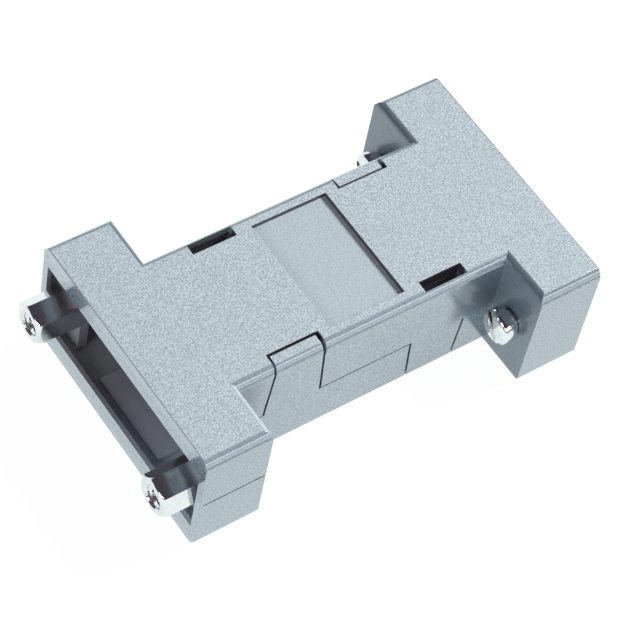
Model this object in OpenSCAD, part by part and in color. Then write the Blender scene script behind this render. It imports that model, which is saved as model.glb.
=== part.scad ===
// Two-port D-sub adapter hood for nine-way connectors.
// Two identical half shells clip together: each carries two latch tongues and two latch pockets.
// One port has hexagonal jack posts, held by nuts, and the other has slotted jackscrews.
// +X runs along the hood towards the jackscrews and +Z is up.
// The origin is the middle of the bottom plane, on which the hood rests.

/* [Hood] */
// Length of the hood from port to port
hood_length = 51.4; // [50:0.1:56]
// Width across the wings
hood_width = 32; // [31.8:0.1:34]
// Height of the closed hood
hood_height = 15.6; // [15.4:0.1:17]
// Width of the neck between the wings
neck_width = 18.8; // [18:0.1:20]
// Depth of each wing, along the hood
wing_depth = 8.2; // [7.9:0.1:9]
// Rounding of the long outer edges
edge_radius = 0.9; // [0.5:0.1:1.2]
// Width of the small step between that rounding and the side walls
side_step = 0.15; // [0:0.05:0.25]

/* [Ports] */
// Width of each port's mouth
mouth_width = 30.1; // [29.9:0.1:30.4]
// Height of each port's mouth
mouth_height = 9.9; // [9.6:0.1:10.6]
// Thickness of the lip in front of the connector's flange
lip_depth = 0.55; // [0.45:0.05:0.9]
// Width of the groove that takes the connector's flange
groove_width = 31; // [30.9:0.05:31.2]
// Height of the groove that takes the connector's flange
groove_height = 12.7; // [12.6:0.05:12.9]
// Depth of that groove, along the hood
groove_depth = 1.2; // [1:0.1:1.3]
// Distance between the two screw axes of a port
screw_spacing = 24.99; // [24.9:0.01:25.1]
// Radius of the holes that the two shells form for the screws
screw_hole_r = 1.5; // [1.48:0.01:1.6]

/* [Walls] */
// Thickness of the top and bottom walls
skin = 1.45; // [1.2:0.05:1.45]
// Thickness of the neck's side walls
neck_wall = 2.6; // [2.5:0.05:2.7]
// Thickness of each wing's back wall
back_wall = 1.5; // [1.2:0.1:1.7]
// Thickness of the ribs that back the flange
rib_depth = 1.2; // [1:0.1:1.3]
// Distance from the middle line to the ribs that carry the posts
rib_start = 10.6; // [10:0.1:10.8]
// Width of the low sill that backs the flange under the connector
sill_width = 12; // [8:0.5:14]
// Height of that sill above the inside of the wall
sill_height = 0.6; // [0.4:0.05:0.9]

/* [Latches] */
// Distance of each latch from the middle, along the hood
latch_offset = 9.7; // [9:0.1:10.5]
// Width of a latch tongue at the parting plane
latch_root_width = 7; // [6.4:0.1:7.4]
// Width of a latch tongue at its tip
latch_tip_width = 5.8; // [5.6:0.1:6.2]
// Thickness of the tongue's springing arm
latch_arm = 0.65; // [0.6:0.05:0.75]
// Thickness of the tongue's hooked head
latch_head_depth = 1.95; // [1.8:0.05:2.05]
// Height of the tongue's hooked head
latch_head_height = 2.2; // [1.8:0.1:2.6]
// Gap beside the tongue in its pocket
latch_gap = 0.3; // [0.15:0.05:0.35]
// Extra gap beside the tip, on the +X side
latch_relief = 0.2; // [0.1:0.05:0.4]
// Width of the mould window through which the hook was formed
window_width = 5.6; // [5:0.1:5.6]

/* [Parting line] */
// How far the seam lies below the middle on the neck's front wall, and above it on the rear wall
seam_step = 0.55; // [0.2:0.05:0.7]
// Height of the shadow groove where the shells meet
parting_height = 0.2; // [0.1:0.02:0.3]
// Depth of that groove
parting_depth = 0.2; // [0.1:0.05:0.3]

/* [Label panel] */
// Length of the sunk label panel, along the hood
label_length = 9.8; // [8:0.1:10.2]
// Width of the sunk label panel
label_width = 15.2; // [12:0.1:15.6]
// Depth of the sunk label panel
label_depth = 0.6; // [0.2:0.05:0.7]

/* [Jack posts] */
// Distance across the flats of a jack post
post_flats = 4.5; // [4.3:0.05:4.6]
// How far the posts stand out of the port
post_reach = 3.7; // [3:0.1:4.2]
// Turn of the front post about its axis, in degrees
post_turn_front = -14; // [-20:1:20]
// Turn of the rear post about its axis, in degrees
post_turn_rear = -11; // [-20:1:20]
// Radius of the threaded hole in the post
post_thread_r = 1.1; // [1.05:0.01:1.2]
// Depth of the threaded hole in the post
post_thread_depth = 4.8; // [4:0.1:5]
// Distance across the flats of the nut
nut_flats = 4.76; // [4.6:0.02:4.8]
// Thickness of the nut
nut_height = 2; // [1.6:0.1:2.2]
// Thickness of the lock washer
washer_height = 0.6; // [0.4:0.05:0.7]

/* [Jackscrews] */
// Outer radius of the screw threads
thread_r = 1.42; // [1.38:0.01:1.44]
// Radius of the jackscrew's head
head_r = 2.1; // [1.9:0.05:2.3]
// Height of the straight side of the head
head_side = 1.5; // [1.2:0.05:1.6]
// Height of the domed end of the head
head_dome = 0.5; // [0.3:0.05:0.7]
// Gap between the head and the wing, as the loose screw is drawn back
head_gap = 0.7; // [0.1:0.05:1]
// Width of the driving slot
slot_width = 0.8; // [0.6:0.05:0.9]
// Depth of the driving slot
slot_depth = 1; // [0.7:0.05:1.2]
// Turn of the front screw's driving slot, in degrees
slot_turn_front = -52; // [-90:1:90]
// Turn of the rear screw's driving slot, in degrees
slot_turn_rear = 0; // [-90:1:90]
// How far the jackscrews stand out of the port
screw_reach = 3; // [2:0.1:3.5]

/* [Hidden] */
$fn = 64;

shell_colour = [0.74, 0.80, 0.83];
metal_colour = [0.80, 0.80, 0.80];
bolt_colour = [0.72, 0.70, 0.64];

// Overlap that keeps cuts and unions clean
eps = 0.01;
half_height = hood_height / 2;
half_length = hood_length / 2;
neck_half = neck_width / 2;
duct_half = neck_half - neck_wall;
neck_end = half_length - wing_depth;
screw_y = screw_spacing / 2;

// Heights of the inner surfaces of a half shell, from its outer face
mouth_floor = (hood_height - mouth_height) / 2;
groove_floor = (hood_height - groove_height) / 2;

// Distances from a port's face, inwards
rib_front = lip_depth + groove_depth;
rib_back = rib_front + rib_depth;
chamber_end = wing_depth - back_wall;

// The ledge that a hook holds stands between the duct and the arm's own channel
arm_inner = neck_half - latch_arm;
head_inner = neck_half - latch_head_depth;
hook_play = 0.15;
pocket_play = 0.1;
tip_setback = 0.1;
relief_height = 2;
ramp_height = 2;
window_inner = head_inner - pocket_play;

post_chamfer = 0.45;
post_countersink = 0.35;
stud_end = rib_back + washer_height + nut_height + 0.5;
stud_chamfer = 0.3;
nut_chamfer = 0.3;
nut_bore_play = 0.01;
washer_bore_r = thread_r + 0.08;
washer_r = 2.4;
washer_split = 0.4;

undercut_r = 1.15;
undercut_start = rib_front - 0.1;
undercut_length = 0.6;
tip_chamfer = 0.4;

// Extrudes a drawing of the Y-Z plane from x0 to x1
module along_x(x0, x1) {
    translate([x0, 0, 0])
        rotate([90, 0, 90])
            linear_extrude(x1 - x0)
                children();
}

// Extrudes a drawing of the X-Z plane from y0 to y1
module along_y(y0, y1) {
    translate([0, y1, 0])
        rotate([90, 0, 0])
            linear_extrude(y1 - y0)
                children();
}

// Places what is drawn at the left port, with +X inwards, at both ports
module at_both_ports() {
    for (turn = [0, 180])
        rotate([0, 0, turn])
            translate([-half_length, 0, 0])
                children();
}

// Places what is drawn on the rear side at both latches of one kind.
// kind is 1 for a shell's own tongues and -1 for the pockets of the other shell's tongues.
module at_latches(kind) {
    for (side = [-1, 1])
        translate([kind * side * latch_offset, 0, 0])
            mirror([0, side < 0 ? 1 : 0, 0])
                children();
}

// Section of a half shell across the hood, with its two outer corners rounded and stepped
module half_section(width) {
    straight = width / 2 - side_step - edge_radius;
    translate([-straight, 0])
        square([2 * straight, half_height]);
    translate([-width / 2, edge_radius])
        square([width, half_height - edge_radius]);
    for (side = [-1, 1])
        translate([side * straight, edge_radius])
            circle(edge_radius);
}

// Side view of the left wing of a half shell, with its back edge rounded
module wing_side() {
    square([wing_depth - edge_radius, half_height]);
    translate([0, edge_radius])
        square([wing_depth, half_height - edge_radius]);
    translate([wing_depth - edge_radius, edge_radius])
        circle(edge_radius);
}

// Outer form of a half shell. The neck's rear wall rises above the middle.
module half_blank() {
    at_both_ports()
        intersection() {
            along_x(0, wing_depth) half_section(hood_width);
            along_y(-hood_width, hood_width) wing_side();
        }
    reach = half_length - chamber_end;
    along_x(-reach, reach) half_section(neck_width);
    translate([-neck_end, duct_half, half_height - eps])
        cube([2 * neck_end, neck_wall, seam_step + eps]);
}

// What is cut from the neck's front wall, into which the other shell's raised wall fits
module lowered_wall() {
    translate([-neck_end, -neck_half - 1, half_height - seam_step])
        cube([2 * neck_end, neck_wall + 1 + eps, seam_step + 1]);
}

// The ribs behind the flange groove: a tall one for each screw and a low sill in the middle
module port_ribs() {
    for (side = [0, 1])
        mirror([0, side, 0])
            translate([rib_front, rib_start, 0])
                cube([rib_depth, mouth_width, half_height]);
    translate([rib_front, -sill_width / 2, 0])
        cube([wing_depth, sill_width, skin + sill_height]);
}

// Everything hollow behind one port, up to the parting plane
module port_hollow() {
    translate([-1, -mouth_width / 2, mouth_floor])
        cube([lip_depth + 1 + eps, mouth_width, hood_height]);
    translate([lip_depth, -groove_width / 2, groove_floor])
        cube([groove_depth, groove_width, hood_height]);
    difference() {
        translate([rib_front - eps, -mouth_width / 2, skin])
            cube([chamber_end - rib_front + eps, mouth_width, hood_height]);
        port_ribs();
    }
}

// The duct that joins the two ports through the neck
module duct_hollow() {
    reach = half_length - chamber_end + eps;
    translate([-reach, -duct_half, skin])
        cube([2 * reach, 2 * duct_half, hood_height]);
}

// Half of each hole for a screw, through the rib and the wing's back wall
module screw_holes() {
    at_both_ports()
        for (side = [-1, 1])
            translate([rib_front - eps, side * screw_y, half_height])
                rotate([0, 90, 0])
                    cylinder(r = screw_hole_r, h = wing_depth);
}

// The shadow groove along the seam of the left wing and of the neck beside it.
// It stops short of the port's face, and the seam of the right wing is closed.
module parting_groove() {
    stop = 0.4;
    floor_z = half_height - parting_height / 2;
    translate([-half_length, 0, 0])
        for (side = [-1, 1])
            mirror([0, side < 0 ? 1 : 0, 0]) {
                translate([stop, hood_width / 2 - parting_depth, floor_z])
                    cube([wing_depth, 1, 1]);
                translate([wing_depth - parting_depth, neck_half - eps, floor_z])
                    cube([1, hood_width / 2 - neck_half + 1, 1]);
                translate([wing_depth - eps, neck_half - parting_depth, floor_z + side * seam_step])
                    cube([half_length, parting_depth + 1, 1]);
            }
}

// The window in line with each tongue's hook, with a thin wall between it and the duct
module latch_window() {
    translate([-window_width / 2, window_inner, -1])
        cube([window_width, arm_inner - window_inner, half_height + 2]);
}

// A tongue's hooked section, drawn in Y and in height above the parting plane
module tongue_section() {
    hook_base = half_height - latch_head_height;
    lead = 0.2;
    polygon([
        [arm_inner, -1],
        [neck_half + 1, -1],
        [neck_half + 1, half_height - tip_setback],
        [head_inner + lead, half_height - tip_setback],
        [head_inner, half_height - tip_setback - lead],
        [head_inner, hook_base],
        [arm_inner, hook_base]
    ]);
}

// A tongue's tapering outline, drawn in X and in height above the parting plane
module tongue_outline() {
    polygon([
        [-latch_root_width / 2, -1],
        [latch_root_width / 2, -1],
        [latch_root_width / 2, 0],
        [latch_tip_width / 2, half_height],
        [-latch_tip_width / 2, half_height],
        [-latch_root_width / 2, 0]
    ]);
}

// One tongue, which stands up from the parting plane and keeps the neck's rounded outer face
module latch_tongue() {
    translate([0, 0, half_height])
        intersection() {
            along_x(-latch_root_width, latch_root_width) tongue_section();
            along_y(0, neck_width) tongue_outline();
            mirror([0, 0, 1])
                translate([0, 0, -half_height])
                    union() {
                        along_x(-latch_root_width, latch_root_width) half_section(neck_width);
                        translate([-latch_root_width, 0, half_height - eps])
                            cube([2 * latch_root_width, neck_half, 2]);
                    }
        }
}

// What a pocket leaves open, drawn in Y and in depth below the parting plane.
// The wall that stays inside it is the ledge, with a ramp that spreads the tongue.
module pocket_section() {
    ledge = arm_inner - pocket_play;
    deep = head_inner - pocket_play;
    ledge_end = half_height - latch_head_height - hook_play;
    polygon([
        [deep, -1],
        [neck_half + 1, -1],
        [neck_half + 1, half_height + 1],
        [deep, half_height + 1],
        [deep, ledge_end],
        [ledge, ledge_end],
        [ledge, ramp_height],
        [deep, 0]
    ]);
}

// The pocket's outline, drawn in X and in depth below the parting plane
module pocket_outline() {
    root = latch_root_width / 2 + latch_gap;
    tip = latch_tip_width / 2 + latch_gap;
    relief_at = half_height - relief_height;
    relief_x = root + (tip - root) * relief_at / half_height;
    polygon([
        [-root, -1],
        [root, -1],
        [root, 0],
        [relief_x, relief_at],
        [tip + latch_relief, half_height],
        [tip + latch_relief, half_height + 1],
        [-tip, half_height + 1],
        [-tip, half_height],
        [-root, 0]
    ]);
}

module latch_pocket() {
    translate([0, 0, half_height])
        mirror([0, 0, 1])
            intersection() {
                along_x(-latch_root_width, latch_root_width) pocket_section();
                along_y(0, neck_width) pocket_outline();
            }
}

module label_panel() {
    translate([-label_length / 2, -label_width / 2, -1])
        cube([label_length, label_width, 1 + label_depth]);
}

// One half shell, lying on its outer face with its open side up
module half_shell() {
    difference() {
        half_blank();
        at_both_ports() port_hollow();
        duct_hollow();
        screw_holes();
        lowered_wall();
        parting_groove();
        label_panel();
        at_latches(1) latch_window();
        at_latches(-1) latch_pocket();
    }
    at_latches(1) latch_tongue();
}

module lower_shell() {
    color(shell_colour)
        half_shell();
}

// The same moulding turned over about the length of the hood
module upper_shell() {
    color(shell_colour)
        translate([0, 0, hood_height])
            rotate([180, 0, 0])
                half_shell();
}

// Places what is drawn along +X from the left port's face on one screw axis.
// side is -1 for the front and 1 for the rear.
module on_left_axis(side) {
    translate([-half_length, side * screw_y, half_height])
        rotate([0, 90, 0])
            children();
}

// The same on the right port, with +Z of the drawing pointing inwards
module on_right_axis(side) {
    translate([half_length, side * screw_y, half_height])
        rotate([0, -90, 0])
            children();
}

// A hexagonal prism with one flat facing sideways and its far corners bevelled at the bottom
module bevelled_hexagon(flats, height, bevel) {
    corner_r = flats / sqrt(3);
    intersection() {
        cylinder(r = corner_r, h = height, $fn = 6);
        union() {
            cylinder(r1 = flats / 2 - bevel / 3, r2 = corner_r + eps, h = bevel);
            translate([0, 0, bevel])
                cylinder(r = corner_r + eps, h = height - bevel);
        }
    }
}

// A jack post: hexagon with a threaded hole, and a stud that passes through the rib
module jack_post(side, turn) {
    hexagon_length = post_reach + rib_front;
    stud_r = thread_r;
    color(metal_colour)
        on_left_axis(side) {
            difference() {
                translate([0, 0, -post_reach])
                    rotate([0, 0, turn])
                        bevelled_hexagon(post_flats, hexagon_length, post_chamfer);
                translate([0, 0, -post_reach - eps])
                    cylinder(r = post_thread_r, h = post_thread_depth + eps);
                translate([0, 0, -post_reach - eps])
                    cylinder(r1 = post_thread_r + post_countersink, r2 = post_thread_r,
                        h = post_countersink);
            }
            translate([0, 0, rib_front - eps])
                cylinder(r = stud_r, h = stud_end - rib_front - stud_chamfer + eps);
            translate([0, 0, stud_end - stud_chamfer])
                cylinder(r1 = stud_r, r2 = stud_r - stud_chamfer, h = stud_chamfer);
        }
}

module jack_post_front() {
    jack_post(-1, post_turn_front);
}

module jack_post_rear() {
    jack_post(1, post_turn_rear);
}

// A split spring ring between the rib and the nut
module lock_washer(side) {
    color(bolt_colour)
        on_left_axis(side)
            translate([0, 0, rib_back])
                difference() {
                    cylinder(r = washer_r, h = washer_height);
                    translate([0, 0, -1])
                        cylinder(r = washer_bore_r, h = washer_height + 2);
                    translate([0, -washer_split / 2, -1])
                        cube([washer_r + 1, washer_split, washer_height + 2]);
                }
}

module lock_washer_front() {
    lock_washer(-1);
}

module lock_washer_rear() {
    lock_washer(1);
}

module hex_nut(side) {
    color(bolt_colour)
        on_left_axis(side)
            translate([0, 0, rib_back + washer_height])
                difference() {
                    translate([0, 0, nut_height])
                        mirror([0, 0, 1])
                            bevelled_hexagon(nut_flats, nut_height, nut_chamfer);
                    translate([0, 0, -1])
                        cylinder(r = thread_r + nut_bore_play, h = nut_height + 2);
                }
}

module hex_nut_front() {
    hex_nut(-1);
}

module hex_nut_rear() {
    hex_nut(1);
}

// A jackscrew: slotted round head behind the wing, shank, undercut and threaded end
module jackscrew(side, slot_turn) {
    thread_start = undercut_start - undercut_length;
    head_start = wing_depth + head_gap;
    head_height = head_side + head_dome;
    dome_sphere_r = (head_r * head_r + head_dome * head_dome) / (2 * head_dome);
    color(metal_colour)
        on_right_axis(side) {
            translate([0, 0, undercut_start])
                cylinder(r = thread_r, h = head_start - undercut_start + eps);
            translate([0, 0, thread_start - eps])
                cylinder(r = undercut_r, h = undercut_length + 2 * eps);
            translate([0, 0, tip_chamfer - screw_reach])
                cylinder(r = thread_r, h = thread_start + screw_reach - tip_chamfer);
            translate([0, 0, -screw_reach])
                cylinder(r1 = thread_r - tip_chamfer, r2 = thread_r, h = tip_chamfer + eps);
            difference() {
                translate([0, 0, head_start])
                    union() {
                        cylinder(r = head_r, h = head_side);
                        intersection() {
                            translate([0, 0, head_height - dome_sphere_r])
                                sphere(dome_sphere_r);
                            translate([0, 0, head_side - eps])
                                cylinder(r = head_r, h = head_dome + 1);
                        }
                    }
                translate([0, 0, head_start + head_height - slot_depth])
                    rotate([0, 0, slot_turn])
                        translate([-slot_width / 2, -head_r - 1, 0])
                            cube([slot_width, 2 * head_r + 2, slot_depth + 1]);
            }
        }
}

module jackscrew_front() {
    jackscrew(-1, slot_turn_front);
}

module jackscrew_rear() {
    jackscrew(1, slot_turn_rear);
}

lower_shell();
upper_shell();
jack_post_front();
jack_post_rear();
lock_washer_front();
lock_washer_rear();
hex_nut_front();
hex_nut_rear();
jackscrew_front();
jackscrew_rear();
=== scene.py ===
"""Looks of the two-port adapter hood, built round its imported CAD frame."""

import math
from types import SimpleNamespace

import bmesh
import bpy
from mathutils import Euler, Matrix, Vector


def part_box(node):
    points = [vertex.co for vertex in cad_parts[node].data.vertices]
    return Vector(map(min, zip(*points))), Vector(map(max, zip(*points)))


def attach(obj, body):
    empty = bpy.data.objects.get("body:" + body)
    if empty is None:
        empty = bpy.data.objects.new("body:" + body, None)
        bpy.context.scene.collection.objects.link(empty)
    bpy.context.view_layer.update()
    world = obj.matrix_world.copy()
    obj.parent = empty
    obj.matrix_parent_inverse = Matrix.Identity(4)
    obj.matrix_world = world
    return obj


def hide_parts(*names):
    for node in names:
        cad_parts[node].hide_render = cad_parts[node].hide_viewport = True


MM = 0.001
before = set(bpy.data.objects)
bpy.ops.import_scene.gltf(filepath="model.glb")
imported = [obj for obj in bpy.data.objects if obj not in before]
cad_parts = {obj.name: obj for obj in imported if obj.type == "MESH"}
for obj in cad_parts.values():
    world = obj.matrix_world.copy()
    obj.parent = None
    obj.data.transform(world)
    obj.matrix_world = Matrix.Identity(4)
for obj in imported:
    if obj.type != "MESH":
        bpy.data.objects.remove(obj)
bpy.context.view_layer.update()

# The hood in millimetres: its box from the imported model, the rest as in part.scad
SHELL_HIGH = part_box("lower_shell")[1] / MM
HALF_LENGTH = SHELL_HIGH.x
HALF_WIDTH = SHELL_HIGH.y
HOOD_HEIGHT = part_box("upper_shell")[1].z / MM
MIDDLE = HOOD_HEIGHT / 2
NECK_HALF = 9.4
WING_DEPTH = 8.2
WING_START = HALF_LENGTH - WING_DEPTH
SCREW_Y = 12.495

# The 4-40 UNC thread, in millimetres. The crests and roots are flats, as shares of the pitch
THREAD_MAJOR = 1.42
THREAD_MINOR = 1.12
BORE_MINOR = 1.1
THREAD_PITCH = 0.635
THREAD_FLAT = 0.12
THREAD_ROWS = 12
CONE_SLOPE = 1.2
LEAST_RADIUS = 0.3

# Angle in degrees above which an edge is shaded sharp
SHARP_EDGE = 32

# The camera, fitted to the hood's edges in the photo: place in millimetres, turn in degrees
CAMERA_LENS = 155.987
CAMERA_PLACE = (-125.178, -127.143, 244.389)
CAMERA_TURN = (36.0897, -7.6257, -34.1003)

WHITE = (1, 1, 1, 1)


def link(thing):
    bpy.context.scene.collection.objects.link(thing)


def add_camera():
    data = bpy.data.cameras.new("camera")
    data.lens = CAMERA_LENS
    data.sensor_width = 36
    data.clip_start = 0.01
    data.clip_end = 100
    camera = bpy.data.objects.new("camera", data)
    camera.location = Vector(CAMERA_PLACE) * MM
    camera.rotation_euler = Euler([math.radians(a) for a in CAMERA_TURN], "XYZ")
    link(camera)
    bpy.context.scene.camera = camera


class Nodes:
    """A small builder for a node tree: the methods add nodes, and most return an output socket."""

    def __init__(self, tree):
        self.tree = tree

    def add(self, kind, inputs=None, **properties):
        """Adds one node and returns the node itself."""
        node = self.tree.nodes.new(kind)
        for key, value in properties.items():
            setattr(node, key, value)
        for key, value in (inputs or {}).items():
            self.feed(node.inputs[key], value)
        return node

    def feed(self, socket, value):
        if isinstance(value, bpy.types.NodeSocket):
            self.tree.links.new(value, socket)
        else:
            socket.default_value = value

    def math(self, operation, *values):
        node = self.add("ShaderNodeMath", operation=operation)
        for socket, value in zip(node.inputs, values):
            self.feed(socket, value)
        return node.outputs[0]

    def absolute(self, value):
        return self.math("ABSOLUTE", value)

    def larger(self, first, second):
        return self.math("MAXIMUM", first, second)

    def less(self, first, second):
        return self.math("SUBTRACT", first, second)

    def product(self, first, *others):
        for other in others:
            first = self.math("MULTIPLY", first, other)
        return first

    def step(self, value, start, end):
        """0 below start and 1 above end, smooth between them; start may be above end."""
        node = self.add(
            "ShaderNodeMapRange",
            {"Value": value, "From Min": start, "From Max": end},
            interpolation_type="SMOOTHSTEP",
        )
        return node.outputs["Result"]

    def ramp(self, value, plane, ends):
        """A step whose start and end are given as distances from a plane."""
        return self.step(value, plane + ends[0], plane + ends[1])

    def noise(self, vector, scale, detail=2.0, roughness=0.5):
        inputs = {"Vector": vector, "Scale": scale, "Detail": detail, "Roughness": roughness}
        return self.add("ShaderNodeTexNoise", inputs).outputs[0]

    def mix(self, factor, first, second):
        """Mixes two colours."""
        node = self.add("ShaderNodeMix", data_type="RGBA")
        self.feed(node.inputs[0], factor)
        self.feed(node.inputs[6], first)
        self.feed(node.inputs[7], second)
        return node.outputs[2]

    def wash(self, colour, over, mask, share):
        """A colour with a share of another over it, where the mask is 1."""
        return self.mix(self.product(mask, share), colour, over)

    def blend(self, factor, first, second):
        """Mixes two numbers."""
        node = self.add("ShaderNodeMix", data_type="FLOAT")
        self.feed(node.inputs[0], factor)
        self.feed(node.inputs[2], first)
        self.feed(node.inputs[3], second)
        return node.outputs[0]

    def split(self, vector):
        return self.add("ShaderNodeSeparateXYZ", {0: vector}).outputs

    def bump(self, height, distance, normal=None):
        node = self.add("ShaderNodeBump", {"Height": height, "Distance": distance, "Strength": 1.0})
        if normal is not None:
            self.feed(node.inputs["Normal"], normal)
        return node.outputs[0]

    def edge(self, radius, samples):
        """1 on sharp edges and 0 on flat ground, and the normal of the rounded edge."""
        bevel = self.add("ShaderNodeBevel", {"Radius": radius}, samples=samples)
        geometry = self.add("ShaderNodeNewGeometry")
        dot = self.add(
            "ShaderNodeVectorMath",
            {0: bevel.outputs[0], 1: geometry.outputs["Normal"]},
            operation="DOT_PRODUCT",
        )
        return self.step(dot.outputs["Value"], 0.99, 0.82), bevel.outputs[0]


def new_material(name):
    material = bpy.data.materials.new(name)
    material.use_nodes = True
    tree = material.node_tree
    tree.nodes.clear()
    nodes = Nodes(tree)
    output = nodes.add("ShaderNodeOutputMaterial")
    return material, nodes, output


def object_mm(nodes):
    """Object coordinates in millimetres, and the normal."""
    coordinates = nodes.add("ShaderNodeTexCoord")
    scaled = nodes.add(
        "ShaderNodeVectorMath", {0: coordinates.outputs["Object"]}, operation="SCALE"
    )
    nodes.feed(scaled.inputs["Scale"], 1 / MM)
    return scaled.outputs[0], coordinates.outputs["Normal"]


# Ramps of the shells' masks, from where a mask is 0 to where it is 1.
# First those of a face's slope: the size of its normal's part along Z and along X
LEVEL_FACE = (0.975, 0.992)
SIDEWAYS_FACE = (0.2, 0.3)

# Millimetres from the outer faces, along Z
PANEL_FLOOR = (-0.75, -0.7)
OUTER_FACE = (-0.3, -0.2)
ROUNDED_EDGE = (-1.15, -1.08)
RECESS_TOP = (-0.9, -1.3)
DUCT_SKIN = (-1.7, -1.1)

# Millimetres from the side walls, along Y
WALL_FACE = (-0.25, -0.17)
WALL_EDGE = (-1.15, -1.07)

# Millimetres from the port faces, along X
PORT_RIM = (-0.1, -0.15)
PORT_FACE = (-0.12, -0.04)
SEAM_END = (-1.05, -1.15)

# Millimetres from the wings' inner sides, along X
NECK_PART = (1.08, 1.0)
RIGHT_RECESS = (-7.1, -5.2)
LEFT_RECESS = (4.6, 1.0)
RECESS_END = (0.12, 0.06)
FLANK_OUTSIDE = (1.05, 1.0)
FLANK_INSIDE = (-0.12, -0.06)
RIGHT_WING = (0.1, 0.4)
PORT_DEPTH = (-1.0, 2.0)
SEAM_START = (0.0, -0.1)

# Millimetres from the hood's middle, and the recess in height above the table
LEFT_HALF = (1.0, 0.0)
FRONT_HALF = (0.0, -1.0)
PORT_GRADIENT = (9.0, -6.0)
SEAM_HEIGHT = (0.13, 0.07)
RECESS_HEIGHT = (6.0, 8.5)

# Colours of the shells, linear: pairs are the dark and the light end of a pattern
GRAIN_SHADE_AND_LIGHT = ((0.300, 0.385, 0.425, 1), (0.640, 0.745, 0.785, 1))
PANEL_GRAIN_SHADE_AND_LIGHT = ((0.360, 0.450, 0.490, 1), (0.590, 0.690, 0.730, 1))
CLOUDED_GRAIN = (0.40, 0.50, 0.54, 1)
WALL = ((0.095, 0.175, 0.220, 1), (0.375, 0.520, 0.600, 1))
LIT_WALL_ROUNDING = ((0.260, 0.350, 0.400, 1), (0.400, 0.505, 0.560, 1))
EDGE_HIGHLIGHT = (0.600, 0.700, 0.740, 1)
WING_SHADE = (0.050, 0.080, 0.100, 1)
CORNER_SHADE = ((0.125, 0.180, 0.225, 1), (0.185, 0.245, 0.295, 1))
PORT_PAINTED_LIGHT = ((0.300, 0.305, 0.335, 1), (0.530, 0.590, 0.670, 1))
PORT_MOTTLE = (0.300, 0.310, 0.360, 1)
DUCT_SHADE = ((0.195, 0.185, 0.225, 1), (0.240, 0.230, 0.275, 1))
DUCT_DEEP_SHADE = ((0.070, 0.068, 0.085, 1), (0.090, 0.086, 0.105, 1))
SEAM_SHADE = (0.020, 0.026, 0.032, 1)
RUBBED_AND_HIGHLIT = (0.66, 0.74, 0.77, 1)

# Shares of those colours in the mixes, and of the grain and the polish where they are weak
CLOUD_SHARE = 0.12
WING_SHADE_SHARE = 0.14
PORT_MOTTLE_SHARE = 0.15
SEAM_SHARE = 0.75
RUBBED_AND_HIGHLIT_SHARE = 0.16
COARSE_SHARE = 0.62
FINE_SHARE = 0.38
PANEL_SHARE = 0.38
LEFT_RECESS_SHARE = 0.8
DULLED_POLISH = 0.3

# Depths of the bumps and radius of the shaded edge rounding, in millimetres
WAVE_DEPTH = 0.016
GRAIN_DEPTH = 0.055
SHELL_EDGE = 0.1


def shell_places(n):
    """Where a point of the shells is, in millimetres, and how it faces."""
    place, normal = object_mm(n)
    signed, facing = n.split(place), n.split(normal)
    return SimpleNamespace(
        place=place,
        signed_x=signed[0],
        signed_y=signed[1],
        height=signed[2],
        x=n.absolute(signed[0]),
        y=n.absolute(signed[1]),
        z=n.absolute(n.less(signed[2], MIDDLE)),
        sideways=n.absolute(facing[0]),
        level=n.absolute(facing[2]),
    )


def shell_patterns(n, at):
    """The grain, the fine mottling of the smooth faces and the slow clouds."""
    coarse = n.noise(at.place, 5.4, detail=1.5, roughness=0.6)
    fine = n.noise(at.place, 9.5, detail=1.0, roughness=0.5)
    grain = n.math("ADD", n.product(coarse, COARSE_SHARE), n.product(fine, FINE_SHARE))
    mottled = n.step(n.noise(at.place, 5.5, detail=2.0, roughness=0.6), 0.34, 0.66)
    clouds = n.step(n.noise(at.place, 0.16, detail=3.0, roughness=0.6), 0.35, 0.65)
    return grain, mottled, clouds


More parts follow.
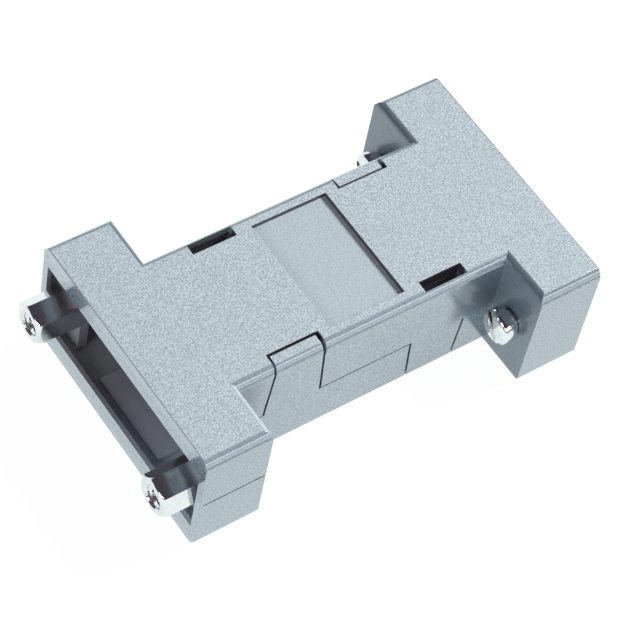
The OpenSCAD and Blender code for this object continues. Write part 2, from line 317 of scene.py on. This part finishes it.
def shell_masks(n, at):
    """Where the shells are grained, polished and dulled, and where shade and a highlight are
    painted on them.
    """
    # The grain covers the outer faces and, finer and weaker, the floor of the label panel
    textured = n.product(
        n.step(at.level, *LEVEL_FACE),
        n.ramp(at.z, MIDDLE, PANEL_FLOOR),
        n.ramp(at.x, HALF_LENGTH, PORT_RIM),
    )
    outermost = n.ramp(at.z, MIDDLE, OUTER_FACE)

    # The outer walls and their rounded edges took the polish of the mould's sides
    rounded = n.ramp(at.z, MIDDLE, ROUNDED_EDGE)

    def side_wall(half_width):
        edge = n.product(n.ramp(at.y, half_width, WALL_EDGE), rounded)
        return n.larger(n.ramp(at.y, half_width, WALL_FACE), edge)

    neck = n.product(side_wall(NECK_HALF), n.ramp(at.x, WING_START, NECK_PART))
    outside = n.larger(side_wall(HALF_WIDTH), neck)
    outside = n.larger(outside, n.ramp(at.x, HALF_LENGTH, PORT_FACE))

    # The polish misses the upper corners between the neck and the wings, above the screws, and
    # these corners are painted in shade
    left = n.product(n.ramp(at.signed_x, -WING_START, LEFT_RECESS), LEFT_RECESS_SHARE)
    recess = n.product(
        n.larger(n.ramp(at.signed_x, WING_START, RIGHT_RECESS), left),
        n.ramp(at.x, WING_START, RECESS_END),
        n.step(at.height, *RECESS_HEIGHT),
        n.ramp(at.z, MIDDLE, RECESS_TOP),
    )
    # It is thin on the wings' inner sides too, which are painted in shade, except the front left
    # one's rounded edge, which has a pale painted highlight
    flank = n.product(
        n.step(at.sideways, *SIDEWAYS_FACE),
        n.ramp(at.x, WING_START, FLANK_OUTSIDE),
        n.ramp(at.x, WING_START, FLANK_INSIDE),
    )
    front_left = n.product(n.step(at.signed_x, *LEFT_HALF), n.step(at.signed_y, *FRONT_HALF))
    pale_highlight_edge = n.product(flank, rounded, front_left)
    corner_shade = n.larger(recess, n.less(flank, pale_highlight_edge))

    # Painted shade lies in the seam's groove on the left wing
    seam = n.product(
        n.step(at.z, *SEAM_HEIGHT),
        n.ramp(at.signed_x, -WING_START, SEAM_START),
        n.ramp(at.x, HALF_LENGTH, SEAM_END),
    )
    polish = n.product(
        outside,
        n.less(1.0, textured),
        n.blend(n.larger(corner_shade, pale_highlight_edge), 1.0, DULLED_POLISH),
        n.less(1.0, seam),
    )
    return SimpleNamespace(
        textured=textured,
        outermost=outermost,
        rounded=rounded,
        outside=outside,
        pale_highlight_edge=pale_highlight_edge,
        corner_shade=corner_shade,
        seam=seam,
        polish=polish,
    )


def shell_colour(n, at, masks, grain, mottled, clouds):
    """The grain frosts the plastic, which is deeper where it is smooth."""
    # Painted shade and light: the grain is darker in its pits and lighter on its tops
    frosted = n.mix(
        masks.outermost,
        n.mix(n.step(grain, 0.28, 0.72), *PANEL_GRAIN_SHADE_AND_LIGHT),
        n.mix(n.step(grain, 0.36, 0.62), *GRAIN_SHADE_AND_LIGHT),
    )
    frosted = n.wash(frosted, CLOUDED_GRAIN, clouds, CLOUD_SHARE)

    # Painted light: the rounded edges of the walls are lighter than the walls
    walls = n.mix(masks.rounded, n.mix(mottled, *WALL), n.mix(mottled, *LIT_WALL_ROUNDING))
    # A pale painted highlight along the front left wing's inner rounded edge
    walls = n.mix(masks.pale_highlight_edge, walls, EDGE_HIGHLIGHT)
    right_wing = n.ramp(at.signed_x, WING_START, RIGHT_WING)
    walls = n.wash(walls, WING_SHADE, right_wing, WING_SHADE_SHARE)
    # Painted shade in the upper corners by the wings and on the wings' inner sides
    walls = n.mix(masks.corner_shade, walls, n.mix(mottled, *CORNER_SHADE))
    # Painted shade in the seam's groove on the left wing
    walls = n.wash(walls, SEAM_SHADE, masks.seam, SEAM_SHARE)

    # Painted light: the ports' insides are darker towards the rear and lighter towards the front
    port = n.mix(n.step(at.signed_y, *PORT_GRADIENT), *PORT_PAINTED_LIGHT)
    port = n.wash(port, PORT_MOTTLE, mottled, PORT_MOTTLE_SHARE)
    # Painted shade: deeper in, the duct is darker and more purple than the ports, darkest near its
    # roof and floor
    skin = n.ramp(at.z, MIDDLE, DUCT_SKIN)
    duct_shade = n.mix(skin, n.mix(clouds, *DUCT_SHADE), n.mix(clouds, *DUCT_DEEP_SHADE))
    inside = n.mix(n.ramp(at.x, WING_START, PORT_DEPTH), duct_shade, port)

    smooth = n.mix(masks.outside, inside, walls)
    return n.mix(masks.textured, smooth, frosted)


def shell_material():
    """Moulded plastic: grained broad faces, polished outer walls and satin insides."""
    material, n, output = new_material("shell_plastic")
    at = shell_places(n)
    masks = shell_masks(n, at)
    grain, mottled, clouds = shell_patterns(n, at)

    edge, rounded_normal = n.edge(SHELL_EDGE * MM, samples=8)
    # Edges are rubbed lighter and smoother: partly wear, partly a painted highlight
    rubbed_and_highlit = n.product(edge, n.step(n.noise(at.place, 1.1, detail=4.0), 0.35, 0.6))
    colour = shell_colour(n, at, masks, grain, mottled, clouds)
    colour = n.wash(colour, RUBBED_AND_HIGHLIT, rubbed_and_highlit, RUBBED_AND_HIGHLIT_SHARE)

    # Roughness: satin on the grain, gloss on the polished walls, with faint smears
    smears = n.noise(at.place, 0.5, detail=4.0, roughness=0.65)
    rough = n.blend(masks.textured, n.blend(smears, 0.34, 0.50), n.blend(grain, 0.46, 0.64))
    rough = n.blend(masks.polish, rough, n.blend(smears, 0.08, 0.18))
    rough = n.blend(n.product(rubbed_and_highlit, 0.4), rough, 0.25)

    # Bump: the grain, over a very slight waviness everywhere
    waves = n.noise(at.place, 0.24, detail=2.0)
    bumped = n.bump(waves, WAVE_DEPTH * MM, normal=rounded_normal)
    amount = n.product(masks.textured, n.blend(masks.outermost, PANEL_SHARE, 1.0))
    bumped = n.bump(n.product(grain, amount), GRAIN_DEPTH * MM, normal=bumped)

    shader = n.add(
        "ShaderNodeBsdfPrincipled",
        {
            "Base Color": colour,
            "Roughness": rough,
            "IOR": 1.6,
            "Coat Weight": masks.polish,
            "Coat Roughness": 0.17,
            "Coat IOR": 2.3,
            "Normal": bumped,
        },
    )
    n.feed(output.inputs["Surface"], shader.outputs[0])
    return material


# The plated metals: colours are linear, lengths in millimetres
NICKEL = (0.83, 0.83, 0.83, 1)
ZINC = (0.60, 0.60, 0.58, 1)
WORN_PLATE = (0.97, 0.96, 0.93, 1)
DULL_PLATE = 0.78
TURNING_LINES = 14.0
PLATE_DEPTH = 0.006
PLATE_EDGE = 0.07


def plated_material(name, tint, rough_low, rough_high, rings):
    """Plated metal: mirror bright, with faint turning lines, and dulled where it is handled."""
    material, n, output = new_material(name)
    place, _ = object_mm(n)
    cloud = n.noise(place, 0.9, detail=4.0, roughness=0.6)
    fine = n.noise(place, 7.0, detail=3.0, roughness=0.6)
    edge, _ = n.edge(PLATE_EDGE * MM, samples=4)
    worn = n.product(edge, n.step(fine, 0.35, 0.6))
    dull = tuple(c * DULL_PLATE for c in tint[:3]) + (1,)
    colour = n.wash(tint, dull, n.step(cloud, 0.4, 0.7), 0.35)
    colour = n.wash(colour, WORN_PLATE, worn, 0.5)
    rough = n.blend(cloud, rough_low, rough_high)
    rough = n.blend(n.product(worn, 0.6), rough, rough_high + 0.1)
    along = n.product(n.split(place)[0], TURNING_LINES)
    turning = n.add(
        "ShaderNodeTexNoise",
        {"W": along, "Scale": 1.0, "Detail": 2.0},
        noise_dimensions="1D",
    )
    height = n.math("ADD", n.product(turning.outputs[0], rings), n.product(fine, 0.3))
    shader = n.add(
        "ShaderNodeBsdfPrincipled",
        {
            "Base Color": colour,
            "Roughness": rough,
            "Metallic": 1.0,
            "Normal": n.bump(height, PLATE_DEPTH * MM),
        },
    )
    n.feed(output.inputs["Surface"], shader.outputs[0])
    return material


class Turned:
    """A surface of rings about an axis along +X, with one vertex per angle in each ring."""

    def __init__(self, y, angles):
        self.bm = bmesh.new()
        self.y = y
        self.angles = angles
        self.last = None

    def vertex(self, angle, radius, x):
        y = self.y + radius * math.cos(angle)
        z = MIDDLE + radius * math.sin(angle)
        return self.bm.verts.new(Vector((x, y, z)) * MM)

    def face(self, vertices):
        """A face of the vertices that differ, if there are three of them or more."""
        corners = []
        for v in vertices:
            if v not in corners:
                corners.append(v)
        if len(corners) > 2:
            self.bm.faces.new(corners)

    def join(self, near, far):
        """Faces from the ring before, if there is one, to the near ring. The far ring is next."""
        if self.last:
            for i in range(len(self.angles)):
                j = (i + 1) % len(self.angles)
                self.face((self.last[i], self.last[j], near[j], near[i]))
        self.last = far

    def ring(self, radius, x):
        """radius is a number or a function of the angle."""
        made = [self.vertex(a, radius(a) if callable(radius) else radius, x) for a in self.angles]
        self.join(made, made)

    def rings(self, *profile):
        for radius, x in profile:
            self.ring(radius, x)

    def pole(self, x):
        made = [self.vertex(0, 0, x)] * len(self.angles)
        self.join(made, made)

    def thread(self, start, end, radius_at):
        """A helical surface. radius_at gives the radius for a phase in the pitch and an x."""
        low, high = min(start, end), max(start, end)
        rows = THREAD_ROWS
        count = int(math.ceil((high - low) / THREAD_PITCH * rows)) + rows + 1
        columns = []
        for angle in self.angles:
            share = angle / (2 * math.pi)
            column, previous = [], None
            for k in range(count + 1):
                x = min(max(low + THREAD_PITCH * (k / rows + share - 1), low), high)
                if previous is None or abs(x - previous) > 1e-9:
                    phase = ((x - low) / THREAD_PITCH - share) % 1.0
                    made = self.vertex(angle, radius_at(phase, x), x)
                    previous = x
                column.append(made)
            columns.append(column)
        total = len(self.angles)
        for i in range(total):
            j = (i + 1) % total
            # Past the last angle the helix has climbed by one pitch
            shift = rows if j == 0 else 0
            for k in range(count):
                places = ((i, k), (j, k + shift), (j, k + 1 + shift), (i, k + 1))
                self.face([columns[column][min(row, count)] for column, row in places])
        first, last = [c[0] for c in columns], [c[-1] for c in columns]
        if start > end:
            first, last = last, first
        self.join(first, last)

    def finish(self, name, material):
        bm = self.bm
        bmesh.ops.remove_doubles(bm, verts=bm.verts, dist=1e-8)
        bmesh.ops.recalc_face_normals(bm, faces=bm.faces)
        shade_smooth(bm)
        mesh = bpy.data.meshes.new(name)
        bm.to_mesh(mesh)
        bm.free()
        piece = bpy.data.objects.new(name, mesh)
        link(piece)
        mesh.materials.append(material)
        return piece


def shade_smooth(bm):
    """Smooth shading that stops at sharp edges."""
    limit = math.radians(SHARP_EDGE)
    for face in bm.faces:
        face.smooth = True
    for edge in bm.edges:
        edge.smooth = len(edge.link_faces) == 2 and edge.calc_face_angle(0) < limit


def thread_profile(minor, phase):
    """Radius of a 60 degree thread with small flats, for a phase from 0 to 1 in its pitch."""
    distance = abs(phase - 0.5) * 2
    share = (distance - THREAD_FLAT) / (1 - 2 * THREAD_FLAT)
    return THREAD_MAJOR + (minor - THREAD_MAJOR) * min(max(share, 0), 1)


def external_thread(low, high, tip_drop):
    """A thread whose crests are cut down by a cone at each end."""

    def radius(phase, x):
        cone = THREAD_MAJOR - tip_drop + min(x - low, high - x) * CONE_SLOPE
        return min(thread_profile(THREAD_MINOR, phase), max(cone, LEAST_RADIUS))

    return radius


# A hexagon's corners: their sharpness, and the angles near each of them that get a vertex
CORNER_SHARPNESS = 70
CORNER_OFFSETS = (0, 0.8, 1.8, 3.2, 5, 8, 12, 17, 23.5)


def hexagon_radius(flats, turn):
    """Radius of a hexagon with slightly rounded corners, at an angle."""

    def radius(angle):
        total = 0
        for k in range(6):
            c = math.cos(angle - turn - k * math.pi / 3)
            if c > 0:
                total += c ** CORNER_SHARPNESS
        return flats / 2 * total ** (-1 / CORNER_SHARPNESS)

    return radius


def hexagon_angles(turn):
    """Angles that crowd towards a hexagon's corners."""
    steps = {s * o for o in CORNER_OFFSETS for s in (-1, 1)} | {30}
    angles = set()
    for k in range(6):
        for s in sorted(steps):
            angle = (turn + math.radians(30 + 60 * k + s)) % (2 * math.pi)
            angles.add(round(angle, 7))
    return sorted(angles)


def soft_min(a, b, width):
    """The smaller of two numbers, rounded off where they are close."""
    h = max(width - abs(a - b), 0) / width
    return min(a, b) - h * h * width / 4


# The jack post, in millimetres. RIB_FRONT and STUD_END are depths inside the port face
POST_FLATS = 4.5
POST_BEVEL = 0.45
POST_ROUNDING = 0.14
POST_REACH = 3.7
POST_BORE_DEPTH = 4.8
DRILL_TIP = 0.55
RIB_FRONT = 1.75
STUD_END = 6.05
STUD_TIP_RADIUS = 0.85
STUD_TIP_DROP = 0.35
BORE_LIP = THREAD_MAJOR + 0.12
BEVEL_RINGS = (1.2, 0.75, 0.62, 0.54, 0.47, 0.4, 0.34, 0.28, 0.22, 0.16, 0.11)


def jack_post(name, side, turn_degrees, material):
    """Hexagonal post with a tapped hole in its end and a threaded stud behind it."""
    turn = math.radians(turn_degrees)
    hexagon = hexagon_radius(POST_FLATS, turn)
    port = -HALF_LENGTH
    front = port - POST_REACH
    back = port + RIB_FRONT
    stud_tip = port + STUD_END
    face_radius = POST_FLATS / 2 - POST_BEVEL / 3
    slope = (POST_FLATS / math.sqrt(3) - face_radius) / POST_BEVEL

    def body_radius(x):
        cone = face_radius + (x - front) * slope
        return lambda angle: soft_min(hexagon(angle), cone, POST_ROUNDING)

    post = Turned(side * SCREW_Y, hexagon_angles(turn))
    # The stud, from its tip to the back of the hexagon
    post.pole(stud_tip)
    post.ring(STUD_TIP_RADIUS, stud_tip)
    start, end = back + 0.35, stud_tip - 0.02
    post.thread(end, start, external_thread(start, end, STUD_TIP_DROP))
    post.rings(
        (THREAD_MINOR, back + 0.3),
        (THREAD_MINOR, back),
        (face_radius, back),
        (lambda angle: hexagon(angle) - 0.05, back - 0.01),
        (hexagon, back - 0.07),
    )
    # The bevelled front end and the lip of the hole
    for drop in BEVEL_RINGS:
        post.ring(body_radius(front + drop), front + drop)
    post.rings(
        (face_radius + 0.02, front + 0.06),
        (face_radius - 0.03, front + 0.02),
        (face_radius - 0.1, front),
        (BORE_LIP + 0.08, front),
        (BORE_LIP, front + 0.02),
        (BORE_LIP - 0.05, front + 0.07),
    )
    # The tapped hole
    bore_start = front + 0.16

    def bore(phase, x):
        cone = BORE_LIP - 0.08 - (x - bore_start) * CONE_SLOPE
        return max(thread_profile(BORE_MINOR, phase), cone)

    post.thread(bore_start, front + POST_BORE_DEPTH - 0.1, bore)
    post.ring(BORE_MINOR, front + POST_BORE_DEPTH)
    post.pole(front + POST_BORE_DEPTH + DRILL_TIP)
    return post.finish(name, material)


# The jackscrew, in millimetres. THREAD_DEPTH is inside the port face
HEAD_RADIUS = 2.1
HEAD_SIDE = 1.5
HEAD_DOME = 0.5
HEAD_GAP = 0.7
HEAD_ROUNDING = 0.55
SHOULDER_STEPS = 8
DOME_RINGS = 10
SCREW_REACH = 3.0
SCREW_ANGLES = 96
SCREW_TIP_RADIUS = 0.75
SCREW_TIP_DROP = 0.42
THREAD_DEPTH = 1.05
SLOT_WIDTH = 0.8
SLOT_DEPTH = 1.0
SLOT_ROUNDING = 0.05
SLOT_RIM_ANGLE = 35


def jackscrew(name, side, slot_turn, material):
    """Slotted screw: its head behind the wing, a plain shank, an undercut and a threaded end."""
    angles = [2 * math.pi * i / SCREW_ANGLES for i in range(SCREW_ANGLES)]
    tip = HALF_LENGTH + SCREW_REACH
    start = HALF_LENGTH - THREAD_DEPTH
    under = WING_START - HEAD_GAP
    screw = Turned(side * SCREW_Y, angles)
    screw.pole(tip)
    screw.ring(SCREW_TIP_RADIUS, tip)
    screw.thread(tip - 0.02, start, external_thread(start, tip - 0.02, SCREW_TIP_DROP))
    screw.rings(
        (THREAD_MINOR, start - 0.06),
        (THREAD_MINOR, start - 0.5),
        (1.16, start - 0.56),
        (1.36, start - 0.6),
        (THREAD_MAJOR, start - 0.68),
        (THREAD_MAJOR, under),
        (HEAD_RADIUS - 0.12, under),
        (HEAD_RADIUS - 0.03, under - 0.03),
        (HEAD_RADIUS, under - 0.12),
    )
    # The side runs into the domed end through a rounded shoulder
    sphere = (HEAD_RADIUS ** 2 + HEAD_DOME ** 2) / (2 * HEAD_DOME)
    centre = under - HEAD_SIDE - HEAD_DOME + sphere
    inner = sphere - HEAD_ROUNDING
    shoulder_radius = HEAD_RADIUS - HEAD_ROUNDING
    shoulder_x = centre - math.sqrt(inner ** 2 - shoulder_radius ** 2)
    sweep = math.acos(shoulder_radius / inner)
    for k in range(SHOULDER_STEPS + 1):
        a = sweep * k / SHOULDER_STEPS
        radius = shoulder_radius + HEAD_ROUNDING * math.cos(a)
        screw.ring(radius, shoulder_x - HEAD_ROUNDING * math.sin(a))
    meeting = shoulder_radius * sphere / inner
    for k in range(1, DOME_RINGS):
        r = meeting * (1 - k / DOME_RINGS)
        screw.ring(r, centre - math.sqrt(sphere ** 2 - r ** 2))
    top = centre - sphere
    screw.pole(top)
    piece = screw.finish(name, material)
    cut_slot(piece, side, top, math.radians(-slot_turn))
    return piece


def slot_cutter(side, top, along, across):
    """A box across the head, which reaches past its sides and its end."""
    middle = Vector((top + SLOT_DEPTH / 2 - 0.5, side * SCREW_Y, MIDDLE))
    bm = bmesh.new()
    bmesh.ops.create_cube(bm, size=1)
    for v in bm.verts:
        x, y, z = v.co
        depth = Vector((x * (SLOT_DEPTH + 1), 0, 0))
        v.co = (middle + depth + along * y * 6 + across * z * SLOT_WIDTH) * MM
    bmesh.ops.recalc_face_normals(bm, faces=bm.faces)
    mesh = bpy.data.meshes.new("slot_cutter")
    bm.to_mesh(mesh)
    bm.free()
    cutter = bpy.data.objects.new("slot_cutter", mesh)
    link(cutter)
    return cutter


def subtract(piece, cutter):
    """Cuts one object out of another and deletes the first."""
    modifier = piece.modifiers.new("slot", "BOOLEAN")
    modifier.operation = "DIFFERENCE"
    modifier.solver = "EXACT"
    modifier.object = cutter
    bpy.context.view_layer.update()
    graph = bpy.context.evaluated_depsgraph_get()
    cut = bpy.data.meshes.new_from_object(piece.evaluated_get(graph))
    piece.modifiers.clear()
    old, spent = piece.data, cutter.data
    name = old.name
    piece.data = cut
    bpy.data.meshes.remove(old)
    cut.name = name
    bpy.data.objects.remove(cutter)
    bpy.data.meshes.remove(spent)


def cut_slot(piece, side, top, turn):
    """Cuts the driving slot across the head and rounds its edges."""
    along = Vector((0, math.cos(turn), math.sin(turn)))
    across = Vector((0, -math.sin(turn), math.cos(turn)))
    subtract(piece, slot_cutter(side, top, along, across))

    bm = bmesh.new()
    bm.from_mesh(piece.data)
    bmesh.ops.remove_doubles(bm, verts=bm.verts, dist=2e-7)
    bottom = (top + SLOT_DEPTH) * MM
    centre = Vector((0, side * SCREW_Y, MIDDLE)) * MM
    least_angle = math.radians(SLOT_RIM_ANGLE)
    rim = []
    for edge in bm.edges:
        if len(edge.link_faces) != 2 or edge.calc_face_angle(0) < least_angle:
            continue
        offsets = [abs((v.co - centre).dot(across)) for v in edge.verts]
        on_wall = all(abs(o - SLOT_WIDTH / 2 * MM) < 1e-6 for o in offsets)
        if on_wall and max(v.co.x for v in edge.verts) < bottom - 2e-6:
            rim.append(edge)
    bmesh.ops.bevel(
        bm,
        geom=rim,
        offset=SLOT_ROUNDING * MM,
        segments=2,
        profile=0.5,
        affect="EDGES",
        clamp_overlap=True,
    )
    bmesh.ops.recalc_face_normals(bm, faces=bm.faces)
    shade_smooth(bm)
    bm.to_mesh(piece.data)
    bm.free()


def dress_node(name, material):
    """Gives a CAD node its material. Its own exact normals stay."""
    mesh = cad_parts[name].data
    mesh.materials.clear()
    mesh.materials.append(material)


def round_edges(name, width):
    """Slightly rounded edges for a CAD node, by modifiers alone."""
    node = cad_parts[name]
    weld = node.modifiers.new("weld", "WELD")
    weld.merge_threshold = 1e-6
    planar = node.modifiers.new("planar", "DECIMATE")
    planar.decimate_type = "DISSOLVE"
    planar.angle_limit = math.radians(0.5)
    rounding = node.modifiers.new("rounding", "BEVEL")
    rounding.width = width * MM
    rounding.segments = 2
    rounding.limit_method = "ANGLE"
    rounding.angle_limit = math.radians(30)
    rounding.use_clamp_overlap = False
    rounding.miter_outer = "MITER_ARC"
    normals = node.modifiers.new("normals", "WEIGHTED_NORMAL")
    normals.mode = "FACE_AREA"
    normals.keep_sharp = False


# Turns about the screw axes, in degrees: name, side of the hood, post and driving slot
SCREWS = (("front", -1, -14, -52), ("rear", 1, -11, 0))
FASTENER_EDGE = 0.04

plastic = shell_material()
metal = plated_material("bright_plate", NICKEL, 0.05, 0.13, rings=0.6)
zinc = plated_material("zinc_steel", ZINC, 0.24, 0.38, rings=0.3)

for shell in ("lower_shell", "upper_shell"):
    dress_node(shell, plastic)
for part in ("lock_washer_front", "lock_washer_rear", "hex_nut_front", "hex_nut_rear"):
    dress_node(part, zinc)
    round_edges(part, FASTENER_EDGE)

for label, side, turn, slot_turn in SCREWS:
    post = jack_post(f"jack_post_{label}_plated", side, turn, metal)
    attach(post, "hood")
    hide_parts(f"jack_post_{label}")
    screw = jackscrew(f"jackscrew_{label}_plated", side, slot_turn, metal)
    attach(screw, f"{label}_screw")
    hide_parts(f"jackscrew_{label}")


# The stage: colours are linear, lengths in metres
FLOOR_HALF = 6
FLOOR_DROP = 0.00005
PAPER = (0.15, 0.15, 0.15, 1)
PAPER_GLOW = (0.94, 0.94, 0.94, 1)
MIRRORED_GLOW = (0.84, 0.92, 0.94, 1)
TABLE = (0.50, 0.50, 0.50, 1)
TABLE_GLOW = 0.40
ROOM = (0.06, 0.055, 0.065, 1)
ROOM_LIGHT = (0.20, 0.175, 0.19, 1)
WINDOW = (1.8, 1.85, 1.85, 1)

# Lamps: name, place, diameter and power in watts. Both look at the middle of the table
LAMPS = (
    ("key", (0.84, -0.07, 0.86), 0.4, 14.2),
    ("fill", (-0.9, -0.25, 0.45), 0.4, 2.5),
)


def light_paths(nodes):
    """Light Path, and 1 for rays that show the surroundings in a mirror or through glass."""
    path = nodes.add("ShaderNodeLightPath").outputs
    return path, nodes.larger(path["Is Glossy Ray"], path["Is Transmission Ray"])


def add_floor():
    """A white floor: rays from the camera and from mirrors see it glow, others a lit table."""
    bm = bmesh.new()
    bmesh.ops.create_grid(bm, x_segments=8, y_segments=8, size=FLOOR_HALF)
    mesh = bpy.data.meshes.new("floor")
    bm.to_mesh(mesh)
    bm.free()
    floor = bpy.data.objects.new("floor", mesh)
    floor.location.z = -FLOOR_DROP
    link(floor)
    material, n, output = new_material("floor")
    path, mirrored = light_paths(n)

    def glowing(colour, glow, strength):
        diffuse = n.add("ShaderNodeBsdfDiffuse", {"Color": colour})
        emission = n.add("ShaderNodeEmission", {"Color": glow, "Strength": strength})
        both = n.add("ShaderNodeAddShader", {0: diffuse.outputs[0], 1: emission.outputs[0]})
        return both.outputs[0]

    seen = n.larger(path["Is Camera Ray"], mirrored)
    tint = n.mix(path["Is Camera Ray"], MIRRORED_GLOW, PAPER_GLOW)
    bright, dim = glowing(PAPER, tint, 1.0), glowing(TABLE, WHITE, TABLE_GLOW)
    mixed = n.add("ShaderNodeMixShader", {0: seen, 1: dim, 2: bright})
    n.feed(output.inputs["Surface"], mixed.outputs[0])
    mesh.materials.append(material)


def add_world():
    """White to the camera. Mirrors show it white up to the horizon, under a dark room with a
    long window in front."""
    world = bpy.data.worlds.new("room")
    bpy.context.scene.world = world
    world.use_nodes = True
    world.node_tree.nodes.clear()
    n = Nodes(world.node_tree)
    output = n.add("ShaderNodeOutputWorld")
    direction = n.split(n.add("ShaderNodeTexCoord").outputs["Generated"])
    room = n.mix(n.step(direction[2], 0.03, 0.09), WHITE, ROOM)
    window = n.product(
        n.step(direction[2], 0.17, 0.23),
        n.step(direction[2], 0.55, 0.48),
        n.step(n.absolute(n.math("ADD", direction[0], 0.33)), 0.04, 0.06),
        n.step(direction[1], -0.60, -0.68),
    )
    room = n.mix(window, room, WINDOW)
    path, mirrored = light_paths(n)
    colour = n.mix(mirrored, ROOM_LIGHT, room)
    colour = n.mix(path["Is Camera Ray"], colour, WHITE)
    background = n.add("ShaderNodeBackground", {"Color": colour, "Strength": 1.0})
    n.feed(output.inputs["Surface"], background.outputs[0])


def add_lamp(name, location, diameter, energy):
    data = bpy.data.lights.new(name, "AREA")
    data.shape = "ELLIPSE"
    data.size = diameter
    data.size_y = diameter
    data.energy = energy
    lamp = bpy.data.objects.new(name, data)
    lamp.location = location
    lamp.rotation_euler = (-lamp.location).to_track_quat("-Z", "Y").to_euler()
    link(lamp)


add_camera()
add_floor()
add_world()
for lamp in LAMPS:
    add_lamp(*lamp)
bpy.context.scene.view_settings.view_transform = "Standard"
